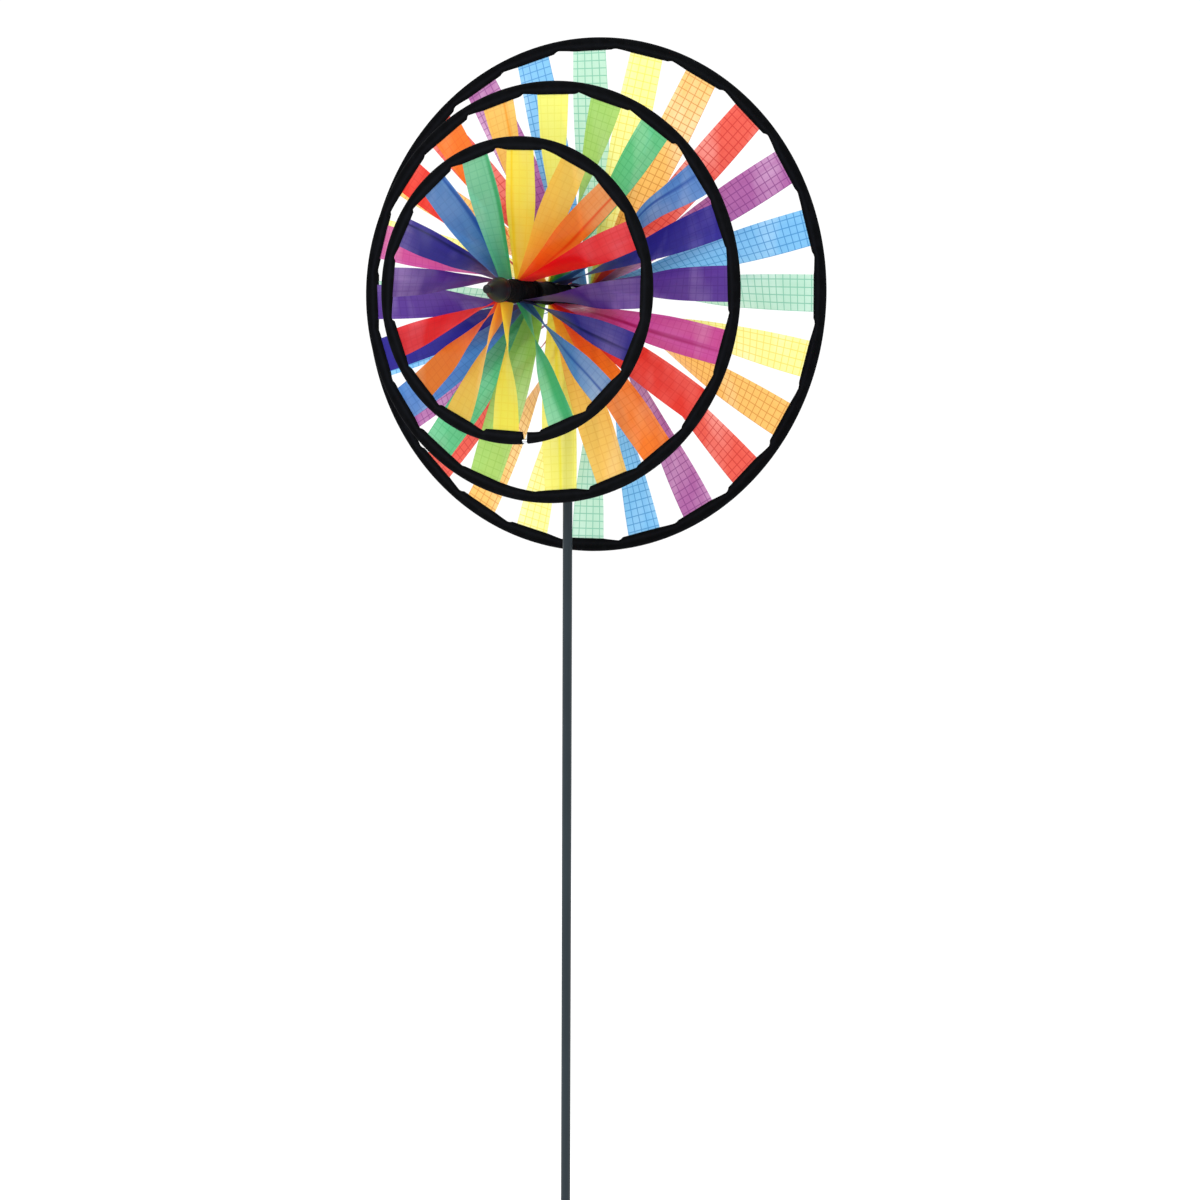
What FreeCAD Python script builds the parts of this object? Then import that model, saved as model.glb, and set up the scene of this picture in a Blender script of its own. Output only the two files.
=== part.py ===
"""Three-wheel ribbon wind spinner on a pole, as a parametric FreeCAD document.

Frame: origin at the pole's lower end, +Z up along the pole, the wheels' front faces -Y.
Each wheel is drawn in a frame of its own, x to the right, y up and z towards the front,
and stands in the row frame by its Placement. All lengths are in millimetres, angles in degrees.
"""
import FreeCAD, Part
import math
import os
from FreeCAD import Placement, Rotation, Vector
import Sketcher

doc = FreeCAD.newDocument("wind_spinner")

# ---------------------------------------------------------------- driving dimensions
DIMENSIONS = {
    # pole and its pivot
    "axle_height": 825.0,
    "pole_radius": 3.25,
    "point_length": 28.0,
    "point_radius": 0.8,
    "spigot_radius": 3.0,
    "spigot_top": 150.0,
    "pivot_radius": 1.5,
    "pivot_depth": 8.0,
    "pivot_rise": 2.5,
    # tee connector and axle
    "axle_radius": 2.0,
    "running_fit": 0.06,
    "end_play": 0.3,
    "tee_wall": 2.2,
    "tee_web": 1.6,
    "tee_shoulder": 0.5,
    "socket_depth": 24.0,
    "tee_round": 0.6,
    # small pieces on the axle
    "washer_thickness": 1.0,
    "washer_radius": 4.4,
    "bead_length": 4.3,
    "bead_radius": 4.6,
    "nose_length": 18.7,
    "nose_skirt": 5.0,
    "nose_radius": 8.2,
    "nose_tip_radius": 2.8,
    "nose_bore": 12.0,
    "nose_round": 1.4,
    "rear_cap_length": 13.0,
    "rear_cap_skirt": 7.0,
    "rear_cap_radius": 6.2,
    "rear_cap_tip_radius": 3.4,
    "rear_cap_bore": 9.0,
    # hubs
    "hub_wall": 2.2,
    "band_thickness": 3.4,
    "small_hub_length": 39.0,
    "medium_hub_length": 46.0,
    "large_hub_length": 46.0,
    "seam_allowance": 0.5,
    # rims
    "hoop_radius": 1.0,
    "hoop_joint_gap": 0.5,
    "ferrule_wall": 0.45,
    "ferrule_length": 24.0,
    "ferrule_slack": 0.1,
    "sleeve_width": 8.5,
    "sleeve_fabric": 0.45,
    "sleeve_gap": 3.4,
    # wheels
    "small_radius": 100.0,
    "medium_radius": 140.0,
    "large_radius": 175.0,
    # ribbons
    "small_ribbon_width": 19.5,
    "medium_ribbon_width": 23.5,
    "large_ribbon_width": 24.5,
    "ribbon_thickness": 0.3,
    "ribbon_clearance": 0.15,
    "fan_share": 0.42,
    "quarter_turn": 90.0,
}

sheet = doc.addObject("Spreadsheet::Sheet", "sizes")
for row, (alias, number) in enumerate(DIMENSIONS.items(), start=1):
    sheet.set(f"A{row}", alias.replace("_", " "))
    sheet.set(f"B{row}", str(number))
    sheet.setAlias(f"B{row}", alias)
doc.recompute()


def of(name):
    """Return the expression that reads one dimension of the sheet."""
    return f"<<sizes>>.{name}"


def value(expression):
    """Return the number that an expression over the sheet gives now."""
    return float(sheet.evalExpression(str(expression)))


sheet.Label = "sizes"

# ---------------------------------------------------------------- places that pieces share
AXLE_Z = of("axle_height")
BORE = f"({of('axle_radius')} + {of('running_fit')})"
SOCKET = f"({of('pole_radius')} + {of('running_fit')})"
TEE_RADIUS = f"({SOCKET} + {of('tee_wall')})"
TEE_HALF = f"({TEE_RADIUS} + {of('tee_shoulder')})"
SOCKET_ROOF = f"(-{of('axle_radius')} - {of('tee_web')})"
PIVOT_TOP = f"({AXLE_Z} + {SOCKET_ROOF} - {of('end_play')})"
POLE_TOP = f"({PIVOT_TOP} - {of('pivot_rise')})"
WASHER_STACK = f"({of('washer_thickness')} + 2 * {of('end_play')})"
TUBE_RADIUS = f"({BORE} + {of('hub_wall')})"
BAND_RADIUS = f"({TUBE_RADIUS} + {of('band_thickness')})"

INNER_HUB_FACE = f"({TEE_HALF} + {WASHER_STACK})"
LARGE_PLANE = f"({INNER_HUB_FACE} + {of('large_hub_length')} / 2)"
MEDIUM_PLANE = f"(-{INNER_HUB_FACE} - {of('medium_hub_length')} / 2)"
MEDIUM_FRONT = f"(-{INNER_HUB_FACE} - {of('medium_hub_length')})"
SMALL_BACK = f"({MEDIUM_FRONT} - {of('bead_length')} - 2 * {of('end_play')})"
SMALL_PLANE = f"({SMALL_BACK} - {of('small_hub_length')} / 2)"
NOSE_BASE = f"({SMALL_BACK} - {of('small_hub_length')} - {of('end_play')})"
LARGE_BACK = f"({INNER_HUB_FACE} + {of('large_hub_length')})"
REAR_CAP_BASE = f"({LARGE_BACK} + {WASHER_STACK})"

CHANNEL = f"({of('hoop_radius')} + {of('ferrule_wall')} + {of('ferrule_slack')})"
RIM_HALF = f"({CHANNEL} + {of('sleeve_fabric')})"

FACING_FRONT = Rotation(Vector(1, 0, 0), 90)
ALONG_AXLE_BACK = Rotation(Vector(1, 0, 0), -90)
NODES = []


def finish_piece(piece, label, rotation=Rotation(), y="0", z="0"):
    """Name a sub-part, stand it in the row frame and list it for export."""
    piece.Label = label
    piece.Placement = Placement(Vector(0, 0, 0), rotation)
    piece.setExpression("Placement.Base.y", y)
    piece.setExpression("Placement.Base.z", z)
    NODES.append(piece)
    return piece


def origin_plane(body, role):
    """Return one of a body's own origin planes."""
    return next(plane for plane in body.Origin.OriginFeatures if plane.Role == role)


def new_sketch(body, name, role):
    """Return a new sketch that lies on one of the body's origin planes."""
    sketch = body.newObject("Sketcher::SketchObject", name)
    sketch.AttachmentSupport = [(origin_plane(body, role), "")]
    sketch.MapMode = "FlatFace"
    return sketch


def bind_point(sketch, edge, corner, across, along):
    """Bind one end of a sketch line to two expressions, counted from the sketch's origin."""
    for kind, expression in (("DistanceX", across), ("DistanceY", along)):
        if expression == "0":
            axis = -2 if kind == "DistanceX" else -1
            sketch.addConstraint(Sketcher.Constraint("PointOnObject", edge, corner, axis))
            continue
        number = value(expression)
        index = sketch.addConstraint(Sketcher.Constraint(kind, -1, 1, edge, corner, number))
        sketch.setExpression(f"Constraints[{index}]", expression)


def draw_outline(sketch, corners):
    """Draw a closed outline of straight lines whose corners are pairs of expressions."""
    points = [Vector(value(across), value(along), 0) for across, along in corners]
    first = sketch.GeometryCount
    for start, end in zip(points, points[1:] + points[:1]):
        sketch.addGeometry(Part.LineSegment(start, end), False)
    count = len(corners)
    for step in range(count):
        following = first + (step + 1) % count
        sketch.addConstraint(Sketcher.Constraint("Coincident", first + step, 2, following, 1))
    for step, (across, along) in enumerate(corners):
        bind_point(sketch, first + step, 1, across, along)


def draw_circle(sketch, radius, across="0"):
    """Draw a circle of a bound radius whose centre lies on the sketch's x axis."""
    centre = Vector(value(across), 0, 0)
    edge = sketch.addGeometry(Part.Circle(centre, Vector(0, 0, 1), value(radius)), False)
    index = sketch.addConstraint(Sketcher.Constraint("Radius", edge, value(radius)))
    sketch.setExpression(f"Constraints[{index}]", radius)
    bind_point(sketch, edge, 3, across, "0")


def turned_body(name, corners, angle=360.0, channel=None):
    """Return a body turned about its z axis from an outline of (radius, height) corners."""
    body = doc.addObject("PartDesign::Body", name)
    sketch = new_sketch(body, f"{name}_profile", "XZ_Plane")
    draw_outline(sketch, corners)
    if channel:
        draw_circle(sketch, channel[1], channel[0])
    turn = body.newObject("PartDesign::Revolution", f"{name}_turn")
    turn.Profile = (sketch, [""])
    turn.ReferenceAxis = (sketch, ["V_Axis"])
    turn.Midplane = True
    turn.Angle = angle
    body.Tip = turn
    doc.recompute()
    return body


def round_edges(body, radius, chosen):
    """Fillet the circular edges of a body's tip for which chosen(edge) holds."""
    base = body.Tip
    names = []
    for number, edge in enumerate(base.Shape.Edges, start=1):
        if hasattr(edge.Curve, "Radius") and chosen(edge):
            names.append(f"Edge{number}")
    fillet = body.newObject("PartDesign::Fillet", f"{body.Name}_round")
    fillet.Base = (base, names)
    fillet.setExpression("Radius", radius)
    body.Tip = fillet
    doc.recompute()


def edge_radius_is(radius):
    """Return a test for edges of one radius."""
    wanted = value(radius)
    return lambda edge: abs(edge.Curve.Radius - wanted) < 0.01


# ---------------------------------------------------------------- pole
def make_pole():
    """The pole: a rod with a pointed, slightly thinner foot and a blind hole in its top."""
    hole_floor = f"({POLE_TOP} - {of('pivot_depth')})"
    shoulder = f"({of('pole_radius')} - {of('spigot_radius')})"
    pole = turned_body("pole", [
        ("0", "0"),
        (of("point_radius"), "0"),
        (of("spigot_radius"), of("point_length")),
        (of("spigot_radius"), of("spigot_top")),
        (of("pole_radius"), f"({of('spigot_top')} + {shoulder})"),
        (of("pole_radius"), POLE_TOP),
        (of("pivot_radius"), POLE_TOP),
        (of("pivot_radius"), hole_floor),
        ("0", hole_floor),
    ])
    finish_piece(pole, "pole")


def make_pivot_pin():
    """The pin in the pole's top, with a rounded head under the tee's roof."""
    length = f"({of('pivot_depth')} + {of('pivot_rise')})"
    pin = doc.addObject("PartDesign::Body", "pivot")
    sketch = new_sketch(pin, "pivot_circle", "XY_Plane")
    draw_circle(sketch, of("pivot_radius"))
    pad = pin.newObject("PartDesign::Pad", "pivot_pad")
    pad.Profile = sketch
    pad.setExpression("Length", length)
    pin.Tip = pad
    doc.recompute()
    head = value(length)
    round_edges(pin, f"{of('pivot_radius')} * 0.6", lambda edge: abs(edge.Curve.Center.z - head) < 0.01)
    finish_piece(pin, "pole_pivot_pin", z=f"{POLE_TOP} - {of('pivot_depth')}")


# ---------------------------------------------------------------- tee and axle
def make_tee():
    """The tee: a socket over the pole's top and a cross boss that grips the axle."""
    tee = doc.addObject("PartDesign::Body", "tee")
    stem_circle = new_sketch(tee, "tee_stem_circle", "XY_Plane")
    draw_circle(stem_circle, TEE_RADIUS)
    stem = tee.newObject("PartDesign::Pad", "tee_stem")
    stem.Profile = stem_circle
    stem.Reversed = True
    stem.setExpression("Length", of("socket_depth"))
    tee.Tip = stem
    doc.recompute()
    boss_circle = new_sketch(tee, "tee_boss_circle", "XZ_Plane")
    draw_circle(boss_circle, TEE_RADIUS)
    boss = tee.newObject("PartDesign::Pad", "tee_boss")
    boss.Profile = boss_circle
    boss.Midplane = True
    boss.setExpression("Length", f"2 * {TEE_HALF}")
    tee.Tip = boss
    doc.recompute()
    foot = -value(of("socket_depth"))
    faces = value(TEE_HALF)
    round_edges(tee, of("tee_round"), lambda edge: (
        abs(edge.Curve.Center.z - foot) < 0.01 or abs(abs(edge.Curve.Center.y) - faces) < 0.01))
    solid_volume = tee.Shape.Volume
    cut_bore(tee, "tee_axle_hole", "XZ_Plane", of("axle_radius"), "0", f"2 * {TEE_HALF}", True)
    socket_length = f"{of('socket_depth')} + {SOCKET_ROOF}"
    cut_bore(tee, "tee_socket", "XY_Plane", SOCKET, f"-{of('socket_depth')}", socket_length, False)
    if tee.Shape.Volume > solid_volume - value(socket_length) * math.pi * value(SOCKET) ** 2:
        raise RuntimeError("the tee's holes were not cut")
    finish_piece(tee, "tee_connector", z=AXLE_Z)


def cut_bore(body, name, role, radius, offset, length, both_ways):
    """Cut a round hole into a body from a plane, along the plane's normal or both ways."""
    circle = new_sketch(body, f"{name}_circle", role)
    draw_circle(circle, radius)
    if offset != "0":
        circle.setExpression("AttachmentOffset.Base.z", offset)
    hole = body.newObject("PartDesign::Pocket", name)
    hole.Profile = circle
    hole.Midplane = both_ways
    hole.Reversed = not both_ways
    hole.setExpression("Length", length)
    body.Tip = hole
    doc.recompute()


def make_axle():
    """The axle: a plain rod that ends inside the nose cap and the rear cap."""
    front = f"({NOSE_BASE} - {of('nose_bore')})"
    back = f"({REAR_CAP_BASE} + {of('rear_cap_bore')})"
    axle = doc.addObject("Part::Cylinder", "axle_rod")
    axle.setExpression("Radius", of("axle_radius"))
    axle.setExpression("Height", f"{back} - {front}")
    finish_piece(axle, "axle", ALONG_AXLE_BACK, front, AXLE_Z)


def make_cap(name, label, prefix, base, rotation, rounds):
    """A blind cap pressed on one end of the axle: a straight skirt, then a cone to a flat tip."""
    cap = turned_body(name, [
        (of("axle_radius"), "0"),
        (of(f"{prefix}_radius"), "0"),
        (of(f"{prefix}_radius"), of(f"{prefix}_skirt")),
        (of(f"{prefix}_tip_radius"), of(f"{prefix}_length")),
        ("0", of(f"{prefix}_length")),
        ("0", of(f"{prefix}_bore")),
        (of("axle_radius"), of(f"{prefix}_bore")),
    ])
    tip = value(of(f"{prefix}_length"))
    skirt = value(of(f"{prefix}_skirt"))
    round_edges(cap, rounds, lambda edge: (
        abs(edge.Curve.Center.z - tip) < 0.01 or abs(edge.Curve.Center.z - skirt) < 0.01))
    finish_piece(cap, label, rotation, base, AXLE_Z)


def ring_body(name, outer, inner, length):
    """Return a body that is a plain ring about its z axis, from z = 0."""
    body = doc.addObject("PartDesign::Body", name)
    sketch = new_sketch(body, f"{name}_circles", "XY_Plane")
    draw_circle(sketch, outer)
    draw_circle(sketch, inner)
    pad = body.newObject("PartDesign::Pad", f"{name}_pad")
    pad.Profile = sketch
    pad.setExpression("Length", length)
    body.Tip = pad
    doc.recompute()
    return body


def make_washers():
    """Three thin washers: one on each side of the tee and one in front of the rear cap."""
    starts = {
        "washer_front": f"-{TEE_HALF} - {of('end_play')} - {of('washer_thickness')}",
        "washer_middle": f"{TEE_HALF} + {of('end_play')}",
        "washer_rear": f"{LARGE_BACK} + {of('end_play')}",
    }
    washers = []
    for name, start in starts.items():
        washer = ring_body(name, of("washer_radius"), BORE, of("washer_thickness"))
        washer.Placement = Placement(Vector(0, 0, 0), ALONG_AXLE_BACK)
        washer.setExpression("Placement.Base.y", start)
        washers.append(washer)
    group = doc.addObject("Part::Compound", "washers")
    group.Links = washers
    finish_piece(group, "thrust_washers", z=AXLE_Z)


def make_bead():
    """The rounded bead that keeps the small and medium hubs apart."""
    bead = ring_body("bead", of("bead_radius"), BORE, of("bead_length"))
    round_edges(bead, f"{of('bead_length')} * 0.3", edge_radius_is(of("bead_radius")))
    start = f"{MEDIUM_FRONT} - {of('end_play')} - {of('bead_length')}"
    finish_piece(bead, "spacer_bead", ALONG_AXLE_BACK, start, AXLE_Z)


# ---------------------------------------------------------------- wheels
class Wheel:
    """One ribbon wheel: its sizes, its place on the axle and its ribbons' colours."""

    def __init__(self, name, plane, hand, joint_angle, colours, drift):
        """Keep a wheel's name, plane, twist hand (1 or -1), hoop joint angle, colours and drift.

        colours gives (colour, first angle) for the ribbons of one repeat, counted from the
        wheel's right-hand side towards its top. drift gives the degrees by which some ribbons
        are sewn off the even pitch, by their count clockwise from the first.
        """
        self.name = name
        self.plane = plane
        self.hand = hand
        self.joint_angle = joint_angle
        self.colours = colours
        self.drift = drift
        self.radius = of(f"{name}_radius")
        self.hub_length = of(f"{name}_hub_length")
        self.ribbon_width = of(f"{name}_ribbon_width")
        self.hoop_radius = f"({self.radius} - {RIM_HALF})"
        self.sleeve_inside = f"({self.radius} - {of('sleeve_width')})"

    def finish(self, piece, part, spin=0.0):
        """Stand a piece of this wheel in the row frame, turned about the axle by spin."""
        turned = FACING_FRONT.multiply(Rotation(Vector(0, 0, 1), spin))
        return finish_piece(piece, f"{self.name}_{part}", turned, self.plane, AXLE_Z)

    def make_hub(self):
        """The hub: a bearing tube on the axle and two fabric bands, front and rear, around it."""
        tube = ring_body(f"{self.name}_tube", TUBE_RADIUS, BORE, self.hub_length)
        tube.Tip.Midplane = True
        doc.recompute()
        self.finish(tube, "hub_tube")
        for part, reversed_pad in (("hub_band_front", False), ("hub_band_rear", True)):
            band = ring_body(f"{self.name}_{part}", BAND_RADIUS, TUBE_RADIUS, f"{self.hub_length} / 2")
            band.Tip.Reversed = reversed_pad
            doc.recompute()
            end = value(self.hub_length) / 2
            round_edges(band, f"{of('band_thickness')} * 0.3", lambda edge: (
                abs(abs(edge.Curve.Center.z) - end) < 0.01
                and edge.Curve.Radius > value(TUBE_RADIUS) + 0.01))
            self.finish(band, part)

    def torus(self, name, tube_radius, angle):
        """Return a piece of round ring of the hoop's radius, bound to the sheet."""
        ring = doc.addObject("Part::Torus", name)
        ring.setExpression("Radius1", self.hoop_radius)
        ring.setExpression("Radius2", tube_radius)
        ring.setExpression("Angle3", angle)
        return ring

    def arc_angle(self, length):
        """Return the expression for the angle that a length takes on the hoop."""
        return f"({length} / {self.hoop_radius} * 180 / pi)"

    def make_hoop(self):
        """The hoop rod, with its two ends held in a ferrule at the foot of the wheel."""
        gap = self.arc_angle(of("hoop_joint_gap"))
        hoop = self.torus(f"{self.name}_hoop_rod", of("hoop_radius"), f"360 - {gap}")
        self.finish(hoop, "hoop", self.joint_angle + value(gap) / 2)
        span = self.arc_angle(of("ferrule_length"))
        outer_radius = f"{of('hoop_radius')} + {of('ferrule_wall')}"
        outer = self.torus(f"{self.name}_ferrule_outer", outer_radius, span)
        inner = self.torus(f"{self.name}_ferrule_inner", of("hoop_radius"), span)
        ferrule = doc.addObject("Part::Cut", f"{self.name}_ferrule_cut")
        ferrule.Base = outer
        ferrule.Tool = inner
        self.finish(ferrule, "hoop_ferrule", self.joint_angle - value(span) / 2)

    def make_sleeve(self, open_gap):
        """The fabric sleeve round the hoop: thick over the rod, thin at its sewn inner edge."""
        fabric = of("sleeve_fabric")
        crown = f"({RIM_HALF} * 0.5)"
        shoulder = f"({self.radius} - {crown})"
        waist = f"({self.hoop_radius} - {RIM_HALF})"
        corners = [
            (self.sleeve_inside, f"-{fabric}"),
            (waist, f"-{RIM_HALF}"),
            (shoulder, f"-{RIM_HALF}"),
            (self.radius, f"-{crown}"),
            (self.radius, crown),
            (shoulder, RIM_HALF),
            (waist, RIM_HALF),
            (self.sleeve_inside, fabric),
        ]
        gap = value(self.arc_angle(of("sleeve_gap"))) if open_gap else 0.0
        channel = (self.hoop_radius, CHANNEL)
        sleeve = turned_body(f"{self.name}_sleeve", corners, 360.0 - gap, channel)
        half_turn = 180.0
        self.finish(sleeve, "rim_sleeve", self.joint_angle + half_turn)

    def ribbon_ends(self, angle):
        """Return a ribbon's hub centre, rim centre, hub width and rim width, in the wheel frame.

        Ribbons on the wheel's left are sewn to the front band, those on its right to the rear
        band. Near the hub they gather towards the bands' top and bottom seams.
        """
        theta = math.radians(angle)
        front = math.cos(theta) < 0
        seam = math.copysign(math.pi / 2, math.sin(theta))
        spread = math.remainder(theta - seam, 2 * math.pi)
        hub_angle = seam + value(of("fan_share")) * spread
        hub_width = value(self.hub_length) / 2 - 2 * value(of("seam_allowance"))
        rim_width = value(self.ribbon_width)
        hub_radius = value(f"{BAND_RADIUS} + {of('ribbon_clearance')} + {of('ribbon_thickness')} / 2")
        inside = value(self.sleeve_inside)
        rim_radius = math.sqrt(inside ** 2 - (rim_width / 2) ** 2) - value(of("ribbon_clearance"))
        hub_z = math.copysign(value(self.hub_length) / 4, 1 if front else -1)
        hub = Vector(hub_radius * math.cos(hub_angle), hub_radius * math.sin(hub_angle), hub_z)
        rim = Vector(rim_radius * math.cos(theta), rim_radius * math.sin(theta), 0)
        return hub, rim, hub_width, rim_width

    def ribbon_solid(self, angle):
        """Return one ribbon: a thin strip that lies flat at the rim and on edge at the hub."""
        hub, rim, hub_width, rim_width = self.ribbon_ends(angle)
        thickness = value(of("ribbon_thickness"))
        turn = math.radians(value(of("quarter_turn")))
        along = (rim - hub).normalize()
        forward = Vector(0, 0, 1)
        sideways = forward.cross(rim).normalize()
        stations = 9
        sections = []
        for station in range(stations):
            share = station / (stations - 1)
            centre = hub + (rim - hub) * share
            width = hub_width + (rim_width - hub_width) * share
            bend = turn * (1 - share)
            across = sideways * math.cos(bend) + forward * (self.hand * math.sin(bend))
            normal = across.cross(along).normalize()
            half = across * (width / 2)
            lift = normal * (thickness / 2)
            corners = [centre - half - lift, centre + half - lift,
                       centre + half + lift, centre - half + lift]
            sections.append(Part.makePolygon(corners + corners[:1]))
        return Part.makeLoft(sections, True, False)

    def make_ribbons(self):
        """The ribbons: those of one colour share a node, as separate solids."""
        repeat = 360.0 / self.repeats()
        for place, (colour, first_angle) in enumerate(self.colours):
            solids = []
            for turn in range(self.repeats()):
                off_pitch = self.drift.get(turn * len(self.colours) + place, 0.0)
                solids.append(self.ribbon_solid(first_angle - turn * repeat + off_pitch))
            group = doc.addObject("Part::Feature", f"{self.name}_{colour}")
            group.Shape = Part.makeCompound(solids)
            self.finish(group, f"ribbons_{colour}")

    def repeats(self):
        """Return how often the colours repeat round the wheel."""
        return {"small": 2, "medium": 2, "large": 4}[self.name]


def colour_angles(names, first_angle, pitch):
    """Pair colours with angles that go clockwise from the first one."""
    return [(name, first_angle - step * pitch) for step, name in enumerate(names)]


SMALL_COLOURS = ["green", "yellow", "amber", "orange", "red", "violet", "indigo", "blue"]
MEDIUM_COLOURS = ["red", "orange", "amber", "yellow", "lime",
                  "green", "blue", "indigo", "violet", "magenta"]
LARGE_COLOURS = ["green", "yellow", "orange", "red", "purple", "blue"]

SMALL_DRIFT = {0: -0.8, 1: 0.5, 2: -2.5, 4: 2.5, 5: 1.5, 6: 1.8, 7: 2.5,
               8: 2.5, 9: -0.7, 10: -1.5, 12: 1.5, 13: -1.2, 15: -1.5}
MEDIUM_DRIFT = {0: -3.0, 1: -3.0, 2: -3.5, 3: -3.5, 4: -3.0, 5: -2.5, 6: -4.5,
                12: 1.5, 13: 2.5, 14: -5.0, 15: -5.0, 16: -4.0, 17: -2.0}

WHEELS = [
    Wheel("small", SMALL_PLANE, 1, -85.0, colour_angles(SMALL_COLOURS, 109.5, 22.5), SMALL_DRIFT),
    Wheel("medium", MEDIUM_PLANE, -1, -90.0, colour_angles(MEDIUM_COLOURS, 146.0, 18.0), MEDIUM_DRIFT),
    Wheel("large", LARGE_PLANE, 1, -90.0, colour_angles(LARGE_COLOURS, 90.0, 15.0), {}),
]


# ---------------------------------------------------------------- build and export
def check_document():
    """Stop if any object failed or any sub-part has no valid shape."""
    doc.recompute()
    for item in doc.Objects:
        if {"Invalid", "Error"} & set(item.State):
            raise RuntimeError(f"{item.Label} did not compute: {item.State}")
    for piece in NODES:
        if piece.Shape.isNull() or not piece.Shape.isValid() or not piece.Shape.Solids:
            raise RuntimeError(f"{piece.Label} has no valid solid")


def export_pieces():
    """Write each sub-part to its own STEP file."""
    os.makedirs("parts", exist_ok=True)
    for piece in NODES:
        piece.Shape.exportStep(f"parts/{piece.Label}.step")
        print(f"{piece.Label}: {len(piece.Shape.Solids)} solid(s), {piece.Shape.Volume:.1f} mm3")


make_pole()
make_pivot_pin()
make_tee()
make_axle()
make_cap("nose", "nose_cap", "nose", NOSE_BASE, FACING_FRONT, of("nose_round"))
make_cap("tail", "rear_cap", "rear_cap", REAR_CAP_BASE, ALONG_AXLE_BACK, of("nose_round"))
make_washers()
make_bead()
for wheel in WHEELS:
    wheel.make_hub()
    wheel.make_hoop()
    wheel.make_sleeve(open_gap=wheel.name == "small")
    wheel.make_ribbons()
check_document()
export_pieces()
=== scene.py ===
"""Looks of a garden wind spinner: three ribbon wheels on one axle, on top of a thin pole.

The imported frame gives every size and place. Ribbons and rim sleeves are sheets of cloth,
the turned and moulded pieces are modelled over their frame nodes, and the rest of the
frame's nodes are dressed in place.
"""
import functools
import logging
import math
import random
from dataclasses import dataclass, field
from enum import Enum
from typing import Callable, Optional, Sequence

import bpy
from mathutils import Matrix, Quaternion, Vector


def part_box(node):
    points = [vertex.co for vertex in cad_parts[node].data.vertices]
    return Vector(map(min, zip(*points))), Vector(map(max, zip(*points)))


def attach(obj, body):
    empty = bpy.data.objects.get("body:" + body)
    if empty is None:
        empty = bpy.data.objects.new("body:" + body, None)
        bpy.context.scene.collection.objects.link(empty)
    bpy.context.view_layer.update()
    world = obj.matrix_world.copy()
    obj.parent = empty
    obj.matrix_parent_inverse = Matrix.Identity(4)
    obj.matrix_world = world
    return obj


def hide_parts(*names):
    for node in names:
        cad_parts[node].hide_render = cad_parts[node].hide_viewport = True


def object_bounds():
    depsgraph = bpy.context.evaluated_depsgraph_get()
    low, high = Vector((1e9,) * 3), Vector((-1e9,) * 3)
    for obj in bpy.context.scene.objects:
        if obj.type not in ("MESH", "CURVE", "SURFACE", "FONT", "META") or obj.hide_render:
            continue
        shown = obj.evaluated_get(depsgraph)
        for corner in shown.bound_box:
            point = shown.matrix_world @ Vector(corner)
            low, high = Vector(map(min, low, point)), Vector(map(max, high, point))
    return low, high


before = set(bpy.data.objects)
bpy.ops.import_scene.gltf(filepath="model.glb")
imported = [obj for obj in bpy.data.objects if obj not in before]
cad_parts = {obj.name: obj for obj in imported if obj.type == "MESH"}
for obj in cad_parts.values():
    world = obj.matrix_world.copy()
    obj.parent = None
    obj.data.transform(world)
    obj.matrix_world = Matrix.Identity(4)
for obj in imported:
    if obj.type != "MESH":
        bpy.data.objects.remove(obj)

log = logging.getLogger("wind_spinner")
logging.basicConfig(level=logging.INFO, format="%(message)s")

MM = 0.001
MERGE_WITHIN = 0.004 * MM
SMOOTH_UP_TO = math.radians(38)
CAD_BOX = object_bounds()
Colour = tuple[float, float, float]
Stretch = tuple[float, float, float]
Profile = Sequence[tuple[float, float]]


class Twist(Enum):
    """Which way a wheel's ribbons turn on their way from the rim to the hub."""

    LEADING_EDGE_FORWARD = 1
    LEADING_EDGE_BACK = -1


class Tone(Enum):
    """How strongly the ripstop grid of a cloth shows."""

    CLEAR = 0.85
    SOFT = 0.35
    FAINT = 0.22


# ---- colour and node helpers
def srgb(red: int, green: int, blue: int) -> Colour:
    """Turn a display colour into linear light.

    Args:
        red: from 0 to 255.
        green: from 0 to 255.
        blue: from 0 to 255.

    Returns:
        The linear colour.
    """
    def linear(part: int) -> float:
        """Return one channel in linear light."""
        share = part / 255.0
        return share / 12.92 if share <= 0.04045 else ((share + 0.055) / 1.055) ** 2.4
    return linear(red), linear(green), linear(blue)


def rgba(colour: Colour) -> tuple[float, float, float, float]:
    """Return a colour with full alpha, as sockets want it."""
    return (*colour, 1.0)


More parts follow.
